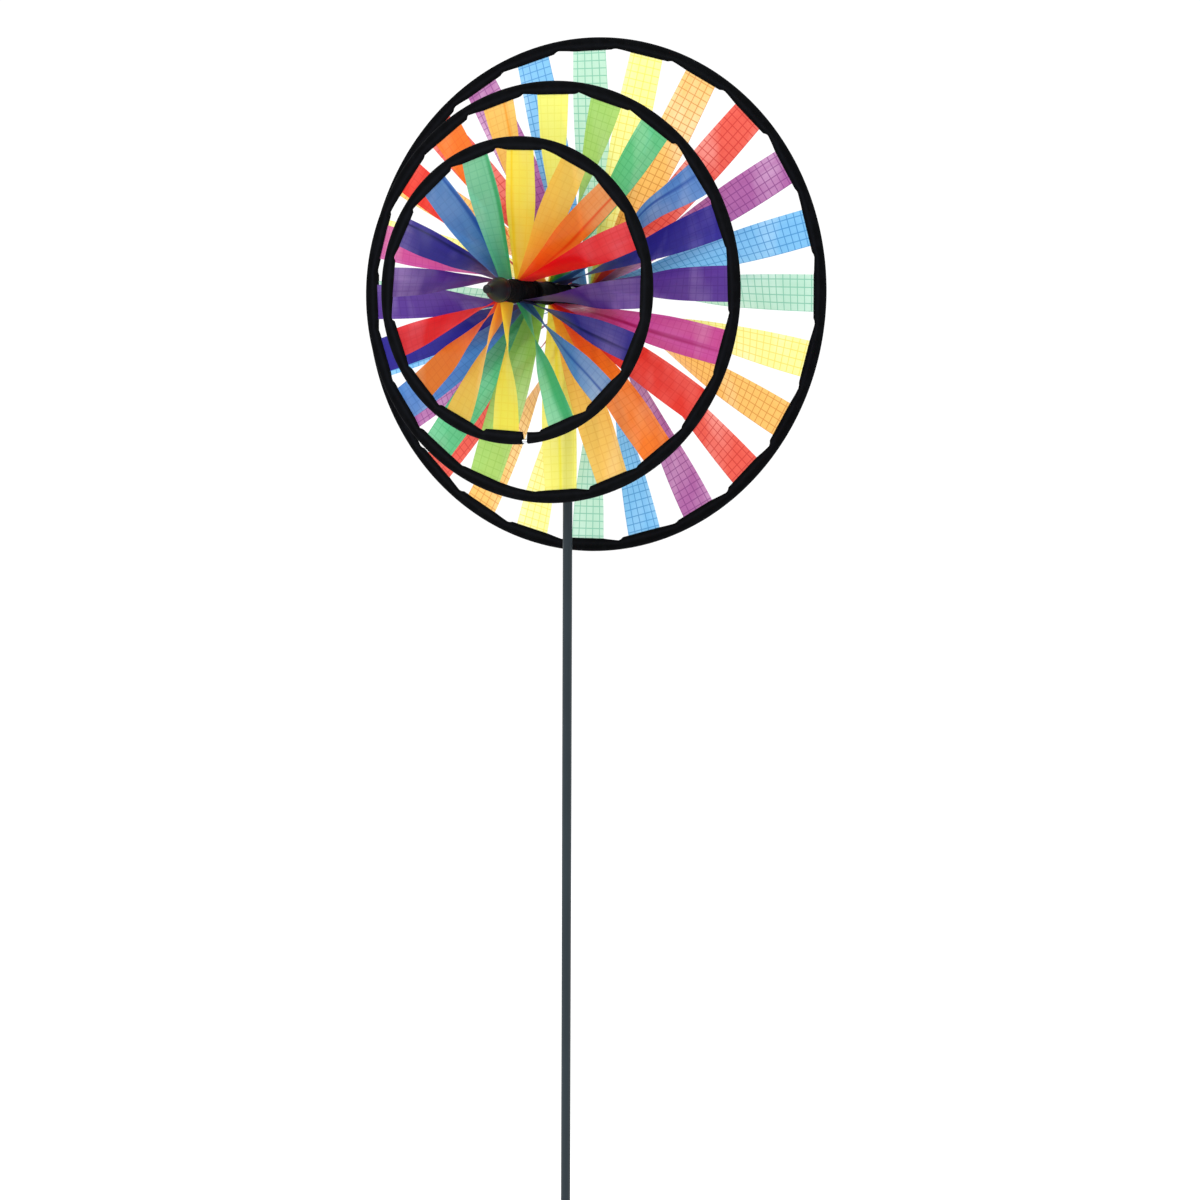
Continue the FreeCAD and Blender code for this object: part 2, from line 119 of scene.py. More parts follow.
class Graph:
    """A material's node tree with short ways to add and join nodes."""

    def __init__(self, name: str) -> None:
        """Start an empty node material.

        Args:
            name: the material's name.
        """
        self.material = bpy.data.materials.new(name)
        self.material.use_nodes = True
        self.tree = self.material.node_tree
        self.tree.nodes.clear()

    def node(self, kind: str, **settings: object) -> bpy.types.Node:
        """Add a node.

        Args:
            kind: the node's type.
            settings: attributes to set on it.

        Returns:
            The node.
        """
        made = self.tree.nodes.new(kind)
        for key, setting in settings.items():
            setattr(made, key, setting)
        return made

    def join(self, source: bpy.types.NodeSocket, target: bpy.types.NodeSocket) -> None:
        """Link one socket to another."""
        self.tree.links.new(source, target)

    def math(self, operation: str, first: object, second: object = 0.0,
             clamp: bool = False) -> bpy.types.NodeSocket:
        """Add a math node.

        Args:
            operation: what it works out.
            first: a socket or a number.
            second: a socket or a number.
            clamp: whether the result is kept from 0 to 1.

        Returns:
            Its output.
        """
        made = self.node("ShaderNodeMath", operation=operation, use_clamp=clamp)
        for index, given in enumerate((first, second)):
            if isinstance(given, bpy.types.NodeSocket):
                self.join(given, made.inputs[index])
            else:
                made.inputs[index].default_value = float(given)
        return made.outputs[0]

    def scaled(self, value: object, factor: object) -> bpy.types.NodeSocket:
        """Return a value times a factor."""
        return self.math("MULTIPLY", value, factor)

    def above(self, value: bpy.types.NodeSocket, floor: float, gain: float) -> bpy.types.NodeSocket:
        """Say how far a value stands above a floor.

        Args:
            value: the value.
            floor: where the result starts from 0.
            gain: how steeply it rises to 1.

        Returns:
            A socket from 0 to 1.
        """
        return self.math("MULTIPLY", self.math("SUBTRACT", value, floor), gain, clamp=True)

    def mix(self, share: object, first: object, second: object) -> bpy.types.NodeSocket:
        """Mix two colours.

        Args:
            share: the second colour's share, a socket or a number.
            first: a socket or a colour.
            second: a socket or a colour.

        Returns:
            The mixed colour.
        """
        made = self.node("ShaderNodeMix", data_type="RGBA", blend_type="MIX")
        for socket, given in ((made.inputs[0], share), (made.inputs[6], first), (made.inputs[7], second)):
            if isinstance(given, bpy.types.NodeSocket):
                self.join(given, socket)
            elif isinstance(given, tuple):
                socket.default_value = rgba(given)
            else:
                socket.default_value = given
        return made.outputs[2]

    def blend(self, share: float, first: bpy.types.Node, second: bpy.types.Node) -> bpy.types.Node:
        """Blend two shaders.

        Args:
            share: the second shader's share.
            first: a shader.
            second: a shader.

        Returns:
            The blended shader.
        """
        made = self.node("ShaderNodeMixShader")
        made.inputs[0].default_value = share
        self.join(first.outputs[0], made.inputs[1])
        self.join(second.outputs[0], made.inputs[2])
        return made

    def cloth_map(self) -> bpy.types.NodeSocket:
        """Return the sheet's own map, in metres across and along."""
        return self.node("ShaderNodeUVMap", uv_map="cloth").outputs[0]

    def cloth_fold(self) -> bpy.types.NodeSocket:
        """Return how folded the cloth is, from 0 to 1."""
        return self.node("ShaderNodeAttribute", attribute_name="fold").outputs["Fac"]

    def object_place(self) -> bpy.types.NodeSocket:
        """Return the object coordinates."""
        return self.node("ShaderNodeTexCoord").outputs["Object"]

    def stretch(self, place: bpy.types.NodeSocket, scale: Stretch) -> bpy.types.NodeSocket:
        """Scale coordinates on each axis.

        Args:
            place: the coordinates.
            scale: the factor on each axis.

        Returns:
            The scaled coordinates.
        """
        mapping = self.node("ShaderNodeMapping")
        mapping.inputs["Scale"].default_value = scale
        self.join(place, mapping.inputs["Vector"])
        return mapping.outputs[0]

    def noise(self, place: bpy.types.NodeSocket, scale: float, detail: float = 3.0) -> bpy.types.NodeSocket:
        """Add a noise texture.

        Args:
            place: the coordinates.
            scale: how many of its lumps fit in a metre.
            detail: how many finer layers it has.

        Returns:
            Its value.
        """
        made = self.node("ShaderNodeTexNoise")
        made.inputs["Scale"].default_value = scale
        made.inputs["Detail"].default_value = detail
        self.join(place, made.inputs["Vector"])
        return made.outputs[0]

    def bump(self, height: bpy.types.NodeSocket, distance: float, strength: float) -> bpy.types.NodeSocket:
        """Bump a surface.

        Args:
            height: how high it stands, as a share.
            distance: the height in metres at a share of 1.
            strength: how much of the bump shows.

        Returns:
            The bumped normal.
        """
        made = self.node("ShaderNodeBump")
        made.inputs["Distance"].default_value = distance
        made.inputs["Strength"].default_value = strength
        self.join(height, made.inputs["Height"])
        return made.outputs[0]

    def principled(self, roughness: float, **uniform: float) -> bpy.types.Node:
        """Add the main shader with its uniform numbers set on its own sockets.

        Args:
            roughness: how matt it is.
            uniform: other sockets' numbers by name.

        Returns:
            The shader.
        """
        made = self.node("ShaderNodeBsdfPrincipled")
        made.inputs["Roughness"].default_value = roughness
        for key, number in uniform.items():
            made.inputs[key.replace("_", " ")].default_value = number
        return made

    def finish(self, shader: bpy.types.NodeSocket) -> bpy.types.Material:
        """Join the last shader to the output.

        Args:
            shader: the shader's socket.

        Returns:
            The finished material.
        """
        output = self.node("ShaderNodeOutputMaterial")
        self.join(shader, output.inputs["Surface"])
        return self.material


# ---- finishes
@dataclass(frozen=True)
class Ripstop:
    """Thin see-through ripstop cloth with its 5 mm grid of thicker threads."""

    name: str
    cloth: Colour
    grid: Colour
    tone: Tone
    see_through: float = 0.12
    glow: float = 0.58
    pitch: float = 5 * MM
    thread_edge: float = 0.40
    thread_gain: float = 12.0
    deepening: float = 1.6
    # The power that gives the paler copy of the cloth colour, used for the painted highlight streaks.
    highlight_paling: float = 0.32
    doubling: float = 2.2
    # Share of the painted shade in creases.
    crease_shade: float = 0.36
    folded: float = 0.9
    woven: float = 0.16
    weave_stretch: Stretch = (900.0, 900.0, 1.0)
    # Stretch of the noise for the painted shade in creases.
    crease_shade_stretch: Stretch = (90.0, 14.0, 1.0)
    # The next two stretch the noise of the painted highlight: its patches and its lengthwise streaks.
    highlight_patch_stretch: Stretch = (34.0, 34.0, 9.0)
    highlight_streak_stretch: Stretch = (160.0, 9.0, 1.0)

    def grid_lines(self, graph: Graph, cloth_map: bpy.types.NodeSocket) -> bpy.types.NodeSocket:
        """Return how much of a grid thread lies at a point.

        Args:
            graph: the material's nodes.
            cloth_map: the sheet's own map, in metres across and along.

        Returns:
            A socket from 0 between threads to 1 on one.
        """
        parts = graph.node("ShaderNodeSeparateXYZ")
        graph.join(cloth_map, parts.inputs[0])
        lines = []
        for axis in ("X", "Y"):
            turns = graph.scaled(parts.outputs[axis], 1.0 / self.pitch)
            wave = graph.math("ABSOLUTE", graph.math("SUBTRACT", graph.math("FRACT", turns), 0.5))
            lines.append(graph.above(wave, self.thread_edge, self.thread_gain))
        return graph.math("MAXIMUM", lines[0], lines[1])

    def material(self) -> bpy.types.Material:
        """Make the cloth: colour with grid, weave, painted shade in creases, painted highlight streaks and
        folds, lit from both sides.

        Returns:
            The material.
        """
        graph = Graph(self.name)
        cloth_map = graph.cloth_map()
        threads = self.grid_lines(graph, cloth_map)
        weave = graph.noise(graph.stretch(cloth_map, self.weave_stretch), 1.6, 2.0)
        # Deeper copy for the weave and the painted crease shade, paler copy for the painted highlight,
        # doubled copy for folds.
        deep, pale, doubled = (tuple(part ** power for part in self.cloth)
                               for power in (self.deepening, self.highlight_paling, self.doubling))
        # Painted highlight: noise patches in object space, drawn out into lengthwise streaks, turn the cloth
        # towards its paler copy in place of glare and light shining through.
        painted_highlight = graph.noise(graph.stretch(graph.object_place(), self.highlight_patch_stretch), 1.0, 2.0)
        highlight_streak = graph.noise(graph.stretch(cloth_map, self.highlight_streak_stretch), 1.0, 3.0)
        colour = graph.mix(graph.scaled(graph.above(painted_highlight, 0.50, 4.2), highlight_streak), self.cloth, pale)
        # Painted shade in creases: long streaks of noise darken the cloth towards its deeper copy.
        uneven = graph.noise(graph.stretch(cloth_map, self.crease_shade_stretch), 2.2, 4.0)
        colour = graph.mix(graph.scaled(graph.above(uneven, 0.50, 2.6), self.crease_shade), colour, deep)
        colour = graph.mix(graph.scaled(graph.cloth_fold(), self.folded), colour, doubled)
        colour = graph.mix(graph.scaled(threads, self.tone.value), colour, self.grid)
        colour = graph.mix(graph.scaled(weave, self.woven), colour, deep)
        height = graph.math("ADD", graph.scaled(threads, 0.6), graph.scaled(weave, 0.5))
        front = graph.principled(0.34, Sheen_Weight=0.12, Sheen_Roughness=0.4, Specular_IOR_Level=0.45)
        graph.join(colour, front.inputs["Base Color"])
        graph.join(graph.bump(height, 0.15 * MM, 0.35), front.inputs["Normal"])
        behind = graph.node("ShaderNodeBsdfTranslucent")
        clear = graph.node("ShaderNodeBsdfTransparent")
        for layer in (behind, clear):
            graph.join(colour, layer.inputs["Color"])
        lit = graph.blend(self.glow, front, behind)
        return graph.finish(graph.blend(self.see_through, lit, clear).outputs[0])


@dataclass(frozen=True)
class BlackCloth:
    """Black woven polyester of the rim sleeves and hub bands."""

    name: str
    base: Colour = srgb(3, 4, 6)
    light: Colour = srgb(20, 22, 28)
    threads_per_metre: float = 1500.0
    wear: float = 0.55
    stitching: float = 0.5

    def material(self) -> bpy.types.Material:
        """Make the cloth with a plain weave, a sewn line and slight wear.

        Returns:
            The material.
        """
        graph = Graph(self.name)
        parts = graph.node("ShaderNodeSeparateXYZ")
        graph.join(graph.cloth_map(), parts.inputs[0])
        rows = [graph.math("SINE", graph.scaled(parts.outputs[axis], self.threads_per_metre * math.tau))
                for axis in ("X", "Y")]
        weave = graph.scaled(rows[0], rows[1])
        worn = graph.noise(graph.object_place(), 160.0, 4.0)
        tone = graph.mix(graph.scaled(graph.above(worn, 0.42, 1.6), self.wear), self.base, self.light)
        stitched = graph.mix(graph.scaled(graph.cloth_fold(), self.stitching), tone, self.light)
        height = graph.math("ADD", graph.scaled(weave, 0.25), worn)
        front = graph.principled(0.8, Sheen_Weight=0.01, Sheen_Roughness=0.5, Specular_IOR_Level=0.05)
        graph.join(stitched, front.inputs["Base Color"])
        graph.join(graph.bump(height, 0.25 * MM, 0.5), front.inputs["Normal"])
        return graph.finish(front.outputs[0])


@dataclass(frozen=True)
class Solid:
    """A plain solid finish: moulded plastic, rod or metal, with grain and rubbed patches."""

    name: str
    base: Colour
    rubbed: Colour
    roughness: float
    metallic: float = 0.0
    grain: Stretch = (400.0, 400.0, 400.0)
    depth: float = 0.05 * MM
    coat: float = 0.0
    patch: float = 60.0
    shine: float = 0.5

    def material(self) -> bpy.types.Material:
        """Make the finish with its grain in colour, roughness and bump.

        Returns:
            The material.
        """
        graph = Graph(self.name)
        place = graph.object_place()
        grain = graph.noise(graph.stretch(place, self.grain), 1.0, 4.0)
        rub = graph.above(graph.noise(place, self.patch, 3.0), 0.5, 3.0)
        share = graph.math("ADD", graph.scaled(grain, 0.35), graph.scaled(rub, 0.45))
        shader = graph.principled(self.roughness, Metallic=self.metallic, Coat_Weight=self.coat,
                                  Coat_Roughness=0.25, Specular_IOR_Level=self.shine)
        graph.join(graph.mix(share, self.base, self.rubbed), shader.inputs["Base Color"])
        spread = graph.scaled(graph.math("SUBTRACT", grain, 0.5), 0.22)
        graph.join(graph.math("ADD", spread, self.roughness, clamp=True), shader.inputs["Roughness"])
        graph.join(graph.bump(grain, self.depth, 0.4), shader.inputs["Normal"])
        return graph.finish(shader.outputs[0])


# ---- modelling helpers
def clear_selection() -> None:
    """Leave edit mode and deselect everything."""
    if bpy.context.object and bpy.context.object.mode != "OBJECT":
        bpy.ops.object.mode_set(mode="OBJECT")
    bpy.ops.object.select_all(action="DESELECT")


def turned(name: str, profile: Profile, front: Vector, steps: int = 64) -> bpy.types.Object:
    """Turn a profile about the axle's direction, as on a lathe.

    Args:
        name: the piece's name.
        profile: (distance behind front, radius) pairs in metres, from one end to the other.
        front: the point on the axle that the distances count from.
        steps: how many stations one turn has.

    Returns:
        The closed turned piece.
    """
    clear_selection()
    bpy.ops.mesh.primitive_plane_add(size=MM)
    piece = bpy.context.object
    piece.name = name
    bpy.ops.object.mode_set(mode="EDIT")
    bpy.ops.mesh.select_all(action="SELECT")
    bpy.ops.mesh.merge(type="CENTER")
    at = front + Vector((0.0, profile[0][0], profile[0][1]))
    bpy.ops.transform.translate(value=at)
    for back, radius in profile[1:]:
        target = front + Vector((0.0, back, radius))
        bpy.ops.mesh.extrude_region_move(TRANSFORM_OT_translate={"value": target - at})
        at = target
    bpy.ops.mesh.select_all(action="SELECT")
    bpy.ops.mesh.spin(steps=steps, angle=math.tau, center=front, axis=(0.0, 1.0, 0.0))
    bpy.ops.mesh.select_all(action="SELECT")
    bpy.ops.mesh.remove_doubles(threshold=MERGE_WITHIN)
    bpy.ops.mesh.normals_make_consistent(inside=False)
    bpy.ops.object.mode_set(mode="OBJECT")
    bpy.ops.object.shade_smooth_by_angle(angle=SMOOTH_UP_TO)
    return piece


def ring(name: str, centre: Vector, radius: float, thickness: float) -> bpy.types.Object:
    """Lay a ring of thread round the axle.

    Args:
        name: the ring's name.
        centre: its middle.
        radius: from the middle to the thread's middle.
        thickness: the thread's own radius.

    Returns:
        The ring.
    """
    clear_selection()
    bpy.ops.mesh.primitive_torus_add(
        location=centre, rotation=(math.pi / 2, 0.0, 0.0), major_radius=radius,
        minor_radius=thickness, major_segments=72, minor_segments=10)
    piece = bpy.context.object
    piece.name = name
    bpy.ops.object.transform_apply(location=True, rotation=True, scale=True)
    bpy.ops.object.shade_smooth()
    return piece


def join_pieces(pieces: Sequence[bpy.types.Object]) -> bpy.types.Object:
    """Join pieces into one.

    Args:
        pieces: the pieces, all with the same kind of mesh.

    Returns:
        The first piece, which now holds them all.
    """
    clear_selection()
    for piece in pieces:
        piece.select_set(True)
    bpy.context.view_layer.objects.active = pieces[0]
    bpy.ops.object.join()
    return pieces[0]


def lump(piece: bpy.types.Object, depth: float, size: float) -> None:
    """Give a cloth-wrapped piece soft lumps by a displacement that is then applied.

    Args:
        piece: the piece.
        depth: from the deepest hollow to the highest lump.
        size: how wide a lump is.
    """
    clear_selection()
    bpy.context.view_layer.objects.active = piece
    piece.select_set(True)
    texture = bpy.data.textures.new(f"{piece.name}_lumps", "CLOUDS")
    texture.noise_scale = size
    bpy.ops.object.modifier_add(type="DISPLACE")
    modifier = piece.modifiers[-1]
    modifier.texture = texture
    modifier.strength = depth
    modifier.mid_level = 0.5
    modifier.texture_coords = "LOCAL"
    bpy.ops.object.modifier_apply(modifier=modifier.name)


def cloth_grid(name: str, rows: int, columns: int, place: Callable[[float, float], Vector],
               size: tuple[float, float], fold: Optional[Callable[[float, float], float]] = None,
               wrap_rows: bool = False, wrap_columns: bool = False, ends: int = 0) -> bpy.types.Object:
    """Weave a sheet of cloth from a function over its two directions.

    Args:
        name: the sheet's name.
        rows: stations along the sheet.
        columns: stations across the sheet.
        place: gives the point for shares (along, across), each from 0 to 1.
        size: the flat sheet's (across, along) in metres, for its map.
        fold: gives from 0 to 1 how folded the cloth is at a point, or None.
        wrap_rows: whether the last row joins the first.
        wrap_columns: whether the last column joins the first.
        ends: how many columns one wall of a two-walled tube has, to close its two cut ends, or 0.

    Returns:
        The sheet, with a map called cloth in metres and an attribute called fold.
    """
    points, shares = [], []
    for row in range(rows):
        along = row / (rows if wrap_rows else rows - 1)
        for column in range(columns):
            across = column / (columns if wrap_columns else columns - 1)
            points.append(place(along, across))
            shares.append(fold(along, across) if fold else 0.0)
    faces, corners = [], []
    for row in range(rows if wrap_rows else rows - 1):
        for column in range(columns if wrap_columns else columns - 1):
            steps = ((row, column), (row + 1, column), (row + 1, column + 1), (row, column + 1))
            faces.append([(r % rows) * columns + c % columns for r, c in steps])
            corners.append([(c / columns * size[0], r / rows * size[1]) for r, c in steps])
    for end in (0, rows - 1) if ends else ():
        for column in range(ends - 1):
            opposite = 2 * ends - 1 - column
            rim = [end * columns + c for c in (column, column + 1, opposite - 1, opposite)]
            faces.append(rim if end == 0 else rim[::-1])
            corners.append([(c / columns * size[0], 0.0) for c in range(4)])
    mesh = bpy.data.meshes.new(name)
    mesh.from_pydata(points, [], faces)
    layer = mesh.uv_layers.new(name="cloth")
    flat = [part for face in corners for corner in face for part in corner]
    layer.data.foreach_set("uv", flat)
    attribute = mesh.attributes.new("fold", "FLOAT", "POINT")
    attribute.data.foreach_set("value", shares)
    mesh.polygons.foreach_set("use_smooth", [True] * len(faces))
    mesh.update()
    piece = bpy.data.objects.new(name, mesh)
    bpy.context.scene.collection.objects.link(piece)
    return piece


def dress(piece: bpy.types.Object, material: bpy.types.Material) -> None:
    """Give a piece its only material.

    Args:
        piece: the piece.
        material: its finish.
    """
    piece.data.materials.clear()
    piece.data.materials.append(material)


def smooth_share(share: float) -> float:
    """Return a share eased in and out."""
    return share * share * (3.0 - 2.0 * share)


def half_width(node: str) -> float:
    """Return half the width of a frame node from side to side."""
    low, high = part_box(node)
    return (high.x - low.x) / 2


# ---- wheels
@dataclass(frozen=True)
class RibbonLook:
    """One ribbon: colour, angle, place round the wheel and number within its colour."""

    colour: str
    angle: float
    serial: int
    number: int


@dataclass
class RibbonWheel:
    """One wheel: cloth sleeve over a hoop, ribbons that twist to the hub, and the hub's bands.

    Ribbons are counted clockwise from the one at first_angle. By that count, folds gives a
    lengthwise fold's place and width across, drift degrees off an even spacing, early_twist
    how soon the ribbon turns, tucked how far an edge is tucked in, and sway a sideways curve.
    """

    name: str
    twist: Twist
    first_angle: float
    colours: tuple[str, ...]
    repeats: int
    ribbon_width: float
    finishes: dict[str, Ripstop]
    black: BlackCloth
    gap_angle: Optional[float] = None
    gap_width: float = 3.4 * MM
    sleeve_width: float = 8.5 * MM
    fan_share: float = 0.42
    folds: dict[int, tuple[float, float]] = field(default_factory=dict)
    drift: dict[int, float] = field(default_factory=dict)
    early_twist: dict[int, float] = field(default_factory=dict)
    tucked: dict[int, float] = field(default_factory=dict)
    sway: dict[int, float] = field(default_factory=dict)
    tuck: float = 1.6 * MM
    pleat_after: float = 5.0 * MM
    pleat_rise: float = 1.6 * MM
    gathering: float = 0.75
    gather_reach: float = 0.55
    hem: float = 0.5 * MM
    cloth_wall: float = 0.35 * MM
    waviness: float = 0.16 * MM
    pleat_height: tuple[float, float] = (0.7 * MM, 2.4 * MM)
    swelling: float = 0.05
    shoulder: float = 0.7 * MM
    waist: float = 0.9 * MM
    lump_depth: float = 1.3 * MM
    lump_size: float = 5.0 * MM
    thread_radius: float = 0.32 * MM
    tuck_reach: float = 0.3
    rows: int = 72
    columns: int = 17
    sleeve_rows_per_ribbon: int = 24
    sleeve_wall_columns: int = 20

    def __post_init__(self) -> None:
        """Read the wheel's size and place from the frame."""
        low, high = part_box(f"{self.name}_rim_sleeve")
        hub_low, hub_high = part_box(f"{self.name}_hub_tube")
        self.hub_length = hub_high.y - hub_low.y
        self.centre = (hub_low + hub_high) / 2
        self.radius = max(half_width(f"{self.name}_rim_sleeve"), high.z - self.centre.z)
        self.half_depth = (high.y - low.y) / 2
        self.band_radius = half_width(f"{self.name}_hub_band_front")
        self.inside = self.radius - self.sleeve_width
        self.body = f"wheel_{self.name}"
        self.pitch = 360.0 / (len(self.colours) * self.repeats)

    def world(self, across: float, up: float, forward: float) -> Vector:
        """Return the place of a point that is given from the wheel's middle."""
        return self.centre + Vector((across, -forward, up))

    def ribbons(self) -> list[RibbonLook]:
        """List the ribbons.

        Returns:
            Every ribbon, clockwise from the first.
        """
        looks = []
        for index in range(len(self.colours) * self.repeats):
            colour = self.colours[index % len(self.colours)]
            angle = math.radians(self.first_angle - index * self.pitch + self.drift.get(index, 0.0))
            looks.append(RibbonLook(colour, angle, index, index // len(self.colours) + 1))
        return looks

    def ribbon_place(self, look: RibbonLook) -> Callable[[float, float], Vector]:
        """Return the function that gives a ribbon's points.

        Args:
            look: the ribbon.

        Returns:
            A function of shares along (hub to rim) and across (clockwise edge first).
        """
        dice = random.Random(f"{self.name}{look.serial}")
        theta = math.remainder(look.angle, math.tau)
        front = 1.0 if math.cos(theta) < 0 else -1.0
        seam = math.copysign(math.pi / 2, math.sin(theta))
        gather = seam + self.fan_share * math.remainder(theta - seam, math.tau)
        hub_radius = self.band_radius - 0.1 * MM
        hub_width = self.hub_length / 2 - 1.0 * MM
        rim_radius = math.sqrt(self.inside ** 2 - (self.ribbon_width / 2) ** 2) + self.tuck
        hub = Vector((hub_radius * math.cos(gather), hub_radius * math.sin(gather),
                      front * self.hub_length / 4))
        rim = Vector((rim_radius * math.cos(theta), rim_radius * math.sin(theta), 0.0))
        forward = Vector((0.0, 0.0, 1.0))
        sideways = Vector((-math.sin(theta), math.cos(theta), 0.0))
        along_way = (rim - hub).normalized()
        ease = dice.uniform(0.25, 0.75)
        power = self.early_twist.get(look.serial, dice.uniform(0.88, 1.15))
        cup = dice.uniform(-1.0, 1.0) * 1.3 * MM
        ripple = dice.uniform(0.2, 0.55) * MM
        phase = dice.uniform(0.0, math.tau)
        waves = dice.uniform(1.2, 2.4)
        bow = dice.uniform(-1.0, 1.0) * 1.0 * MM
        hand = self.twist.value
        pulled = self.tucked.get(look.serial, 0.0)
        sway = self.sway.get(look.serial, 0.0)

        def place(along: float, across: float) -> Vector:
            """Find a point of the ribbon.

            Args:
                along: share from hub to rim.
                across: share from the clockwise edge.

            Returns:
                The point.
            """
            eased = (along * (1.0 - ease) + smooth_share(along) * ease) ** power
            bend = math.pi / 2 * (1.0 - eased)
            width = hub_width + (self.ribbon_width - hub_width) * along
            wide = sideways * math.cos(bend) + forward * (hand * math.sin(bend))
            normal = wide.cross(along_way).normalized()
            side = 2.0 * across - 1.0
            if side > 0.0:
                side *= 1.0 - pulled * smooth_share(min((1.0 - along) / self.tuck_reach, 1.0))
            belly = math.sin(math.pi * along)
            lift = cup * (1.0 - side * side) * belly
            lift += ripple * belly * math.sin(phase + waves * math.tau * along + 1.6 * side)
            lift += bow * belly * side
            point = hub.lerp(rim, along) + wide * (width / 2 * side) + normal * lift
            point += sideways * (sway * math.sin(math.tau * (1.0 - along)) * belly)
            return self.world(point.x, point.y, point.z)

        return place

    def fold_share(self, look: RibbonLook) -> Callable[[float, float], float]:
        """Return the function that says how folded a ribbon's cloth is.

        Args:
            look: the ribbon.

        Returns:
            A function of shares along and across: gathered at the hub, with a soft stripe.
        """
        at, wide = self.folds.get(look.serial, (0.0, 0.0))

        def fold(along: float, across: float) -> float:
            """Say how folded the cloth is at a point.

            Args:
                along: share from hub to rim.
                across: share from the clockwise edge.

            Returns:
                From 0, flat, to 1, folded.
            """
            gathered = self.gathering * (1.0 - smooth_share(min(along / self.gather_reach, 1.0)))
            if wide <= 0.0:
                return gathered
            reach = wide * (1.35 - along)
            return max(gathered, min(1.0, 1.6 - 1.6 * abs(across - at) / reach))

        return fold

    def build_ribbons(self) -> None:
        """Make each ribbon as a sheet of its own, sewn to the sleeve and to a hub band."""
        dressed = {colour: finish.material() for colour, finish in self.finishes.items()}
        length = self.inside - self.band_radius + self.tuck
        for look in self.ribbons():
            node = f"{self.name}_ribbons_{look.colour}"
            name = f"{self.name}_ribbon_{look.colour}_{look.number}"
            piece = cloth_grid(name, self.rows, self.columns, self.ribbon_place(look),
                               (self.ribbon_width, length), self.fold_share(look))
            dress(piece, dressed[look.colour])
            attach(piece, self.body)
            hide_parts(node)
            log.info("ribbon %s", name)

    def inner_edge(self, theta: float) -> float:
        """Find the sleeve's inner edge: straight along each ribbon, then a small pleat.

        Args:
            theta: angle round the wheel.

        Returns:
            The radius, in metres, of the sleeve's inner edge there.
        """
        half = math.asin(self.ribbon_width / 2 / self.inside)
        chord = math.sqrt(self.inside ** 2 - (self.ribbon_width / 2) ** 2)
        past, gap, pleat = math.tau, math.tau, 0.0
        for centre, spare, deep in self.gaps:
            off = math.remainder(theta - centre, math.tau)
            if abs(off) <= half:
                return chord / math.cos(off)
            clockwise = (-off) % math.tau - half
            if clockwise < past:
                past, gap, pleat = clockwise, spare, deep
        run = min(self.pleat_after / self.inside, 0.4 * gap)
        straight = chord / math.cos(half + min(past, run))
        if past <= run:
            return straight
        risen = smooth_share(min((past - run) / (self.pleat_rise / self.inside), 1.0))
        left = (past - run) / (gap - run)
        return straight + pleat * risen * (1.0 - left) + (self.inside - straight) * left

    def measure_gaps(self, dice: random.Random) -> None:
        """Note each ribbon's angle, the room to the next ribbon clockwise and the pleat in it.

        Args:
            dice: where the pleats' heights come from.
        """
        half = math.asin(self.ribbon_width / 2 / self.inside)
        angles = [look.angle for look in self.ribbons()]
        self.gaps = []
        for here, there in zip(angles, angles[1:] + angles[:1]):
            room = (here - there) % math.tau - 2 * half
            self.gaps.append((here, room, dice.uniform(*self.pleat_height)))

    def sleeve_point(self, theta: float, inner: float, turn: float, skin: float) -> Vector:
        """Return a point of the sleeve's wall.

        Args:
            theta: angle round the wheel.
            inner: radius of the sleeve's inner edge there.
            turn: angle round the sleeve's section, 0 at its outer edge and half a turn at its inner.
            skin: how far under the cloth's outside the point lies.

        Returns:
            The point.
        """
        rod_radius = self.radius - self.half_depth
        bulge = self.half_depth * (1.0 + self.swelling * self.wrinkle(theta))
        back = -math.cos(turn)
        if back <= 0.0:
            radial = rod_radius - (self.half_depth - skin) * back
            forward = (bulge - skin) * math.sin(turn)
        else:
            radial = rod_radius + (inner - rod_radius) * back
            thin = self.hem + (bulge - self.hem) * (1.0 - back) ** 1.4 - skin
            forward = math.copysign(thin, math.sin(turn))
            forward += self.waviness * self.wrinkle(2.3 * theta + 1.0) * back
        return self.world(radial * math.cos(theta), radial * math.sin(theta), forward)

    def wrinkle(self, theta: float) -> float:
        """Return a small uneven swelling round the wheel, from -1 to 1."""
        return sum(math.sin(count * theta + phase) for count, phase in self.waves) / len(self.waves)

    def build_sleeve(self) -> None:
        """Fold a strip of cloth round the hoop: outside and inside walls, sewn along the inner edge."""
        dice = random.Random(f"{self.name} sleeve")
        self.waves = [(dice.randint(14, 60), dice.uniform(0.0, math.tau)) for _ in range(6)]
        self.measure_gaps(dice)
        stations = self.sleeve_rows_per_ribbon * len(self.colours) * self.repeats
        half = self.sleeve_wall_columns
        open_angle = self.gap_width / self.inside if self.gap_angle is not None else 0.0
        closed = open_angle == 0.0
        start = math.radians(self.gap_angle or 0.0) + open_angle / 2
        sweep = math.tau - open_angle

        @functools.lru_cache
        def edge(theta: float) -> float:
            """Return the inner edge's radius, worked out once for each station."""
            return self.inner_edge(theta)

        def place(along: float, across: float) -> Vector:
            """Find a point of the sleeve's two walls.

            Args:
                along: share round the wheel.
                across: share across, the outside wall in the first half and the inside in the second.

            Returns:
                The point.
            """
            outside = across < 0.5
            share = (across * 2 if outside else 2 - across * 2) * half / (half - 1)
            share -= 0.0 if outside else 1.0 / (half - 1)
            turn = math.pi * (0.999 - 1.998 * min(max(share, 0.0), 1.0))
            theta = start + sweep * along
            return self.sleeve_point(theta, edge(theta), turn, 0.0 if outside else self.cloth_wall)

        def seam(along: float, across: float) -> float:
            """Return 1 on the sewn line and 0 beside it."""
            inward = min(across, abs(0.5 - across)) * 2 * half
            return 1.0 if 2.0 < inward < 3.2 and across < 0.5 else 0.0

